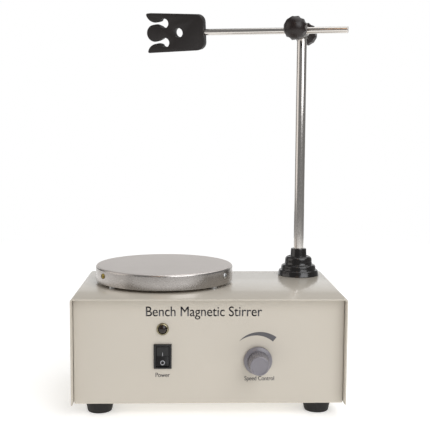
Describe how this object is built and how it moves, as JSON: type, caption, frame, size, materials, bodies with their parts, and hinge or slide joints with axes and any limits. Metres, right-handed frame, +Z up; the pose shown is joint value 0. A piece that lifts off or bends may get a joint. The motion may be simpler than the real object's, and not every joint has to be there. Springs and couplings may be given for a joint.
{
  "type": "magnetic stirrer",
  "caption": "Bench magnetic stirrer: cream sheet-metal housing with a round aluminium plate, rocker switch, lamp, speed knob and a rod stand with a probe clip.",
  "frame": {"origin": "on the bench surface, under the middle of the whole object's box", "axes": "+Z up along the support rod; the front panel faces -Y; +X to the right seen from the front"},
  "size_m": [0.2461, 0.1807, 0.3577],
  "materials": {
    "cream_paint": "cream powder coat, satin",
    "black_rubber": "moulded, matt",
    "zinc_steel": "zinc plated",
    "brushed_plate": "fine brushed",
    "chrome_ring": "polished",
    "amber_lens": "translucent, moulded",
    "switch_black": "moulded, satin",
    "tinned_brass": "stamped",
    "grey_knob": "moulded",
    "turned_steel": "turned",
    "potentiometer_case": "pressed",
    "motor_steel": "plated",
    "magnet_nickel": "nickel plated",
    "board_green": "glass-fibre laminate",
    "nylon_white": "moulded",
    "black_case": "moulded",
    "film_yellow": "moulded",
    "black_bakelite": "pressed phenolic, polished",
    "chromed_rod": "polished chrome plate",
    "polished_clamp": "polished",
    "clip_black": "moulded, satin"
  },
  "bodies": {
    "root": {"cover": "cream_paint", "chassis": "cream_paint", "foot_front_left": "black_rubber", "foot_front_right": "black_rubber", "foot_rear_left": "black_rubber", "foot_rear_right": "black_rubber", "foot_screws": "zinc_steel", "foot_nuts": "zinc_steel", "cover_screws": "zinc_steel", "plate_cap": "brushed_plate", "plate_ring": "brushed_plate", "plate_screws": "zinc_steel", "ring_spacers": "zinc_steel", "ring_screws": "zinc_steel", "indicator_bezel": "chrome_ring", "indicator_lens": "amber_lens", "indicator_nut": "zinc_steel", "switch_frame": "switch_black", "switch_terminals": "tinned_brass", "potentiometer": "potentiometer_case", "pot_nut": "zinc_steel", "motor_bracket": "zinc_steel", "bracket_screws": "zinc_steel", "bracket_nuts": "zinc_steel", "motor_can": "motor_steel", "motor_end_cap": "motor_steel", "motor_bushes": "tinned_brass", "stator": "motor_steel", "motor_screws": "zinc_steel", "circuit_board": "board_green", "board_spacers": "nylon_white", "board_screws": "zinc_steel", "board_nuts": "zinc_steel", "heat_sink": "brushed_plate", "triac": "black_case", "capacitor": "film_yellow", "terminal_block": "board_green", "cord_gland": "black_case", "gland_nut": "black_case", "fuse_holder": "black_case", "fuse_cap": "black_case", "rod_base": "black_bakelite", "base_washer": "zinc_steel", "base_screw": "zinc_steel"},
    "support_rod": {"support_rod": "chromed_rod"},
    "clamp": {"clamp_body": "polished_clamp"},
    "front_knob": {"front_clamp_knob": "black_bakelite", "front_clamp_screw": "zinc_steel"},
    "rear_knob": {"rear_clamp_knob": "black_bakelite", "rear_clamp_screw": "zinc_steel"},
    "cross_rod": {"cross_rod": "chromed_rod"},
    "clip": {"clip": "clip_black"},
    "speed_knob": {"speed_knob": "grey_knob", "pot_shaft": "turned_steel"},
    "rocker": {"switch_rocker": "switch_black"},
    "rotor": {"motor_shaft": "turned_steel", "rotor_core": "motor_steel", "magnet_holder": "brushed_plate", "magnets": "magnet_nickel", "hub_set_screw": "zinc_steel"}
  },
  "joints": [
    {"name": "rod_swivel", "type": "hinge", "parent": "root", "child": "support_rod", "pos_m": [0.08281, 0.04029, 0.112], "axis": [0, 0, 1], "range_deg": [-180, 180]},
    {"name": "clamp_height", "type": "slide", "parent": "support_rod", "child": "clamp", "axis": [0, 0, 1], "range_m": [-0.1943, 0.004]},
    {"name": "front_knob_turn", "type": "hinge", "parent": "clamp", "child": "front_knob", "pos_m": [0.07666, 0.02338, 0.3351], "axis": [-0.342, -0.9397, 0], "range_deg": [0, 360]},
    {"name": "rear_knob_turn", "type": "hinge", "parent": "clamp", "child": "rear_knob", "pos_m": [0.08521, 0.04687, 0.3351], "axis": [0.342, 0.9397, 0], "range_deg": [0, 360]},
    {"name": "cross_rod_slide", "type": "slide", "parent": "clamp", "child": "cross_rod", "axis": [0.9395, -0.342, -0.0192], "range_m": [-0.033, 0.078]},
    {"name": "clip_roll", "type": "hinge", "parent": "cross_rod", "child": "clip", "pos_m": [-0.00928, 0.06264, 0.33691], "axis": [0.9395, -0.342, -0.0192], "range_deg": [-180, 180]},
    {"name": "speed_turn", "type": "hinge", "parent": "root", "child": "speed_knob", "pos_m": [0.03451, -0.07191, 0.0482], "axis": [0, -1, 0], "range_deg": [-150, 150]},
    {"name": "power_rock", "type": "hinge", "parent": "root", "child": "rocker", "pos_m": [-0.04549, -0.07031, 0.0519], "axis": [1, 0, 0], "range_deg": [0, 18]},
    {"name": "motor_spin", "type": "hinge", "parent": "root", "child": "rotor", "pos_m": [-0.04649, 0.00559, 0.0528], "axis": [0, 0, 1], "continuous": true}
  ]
}
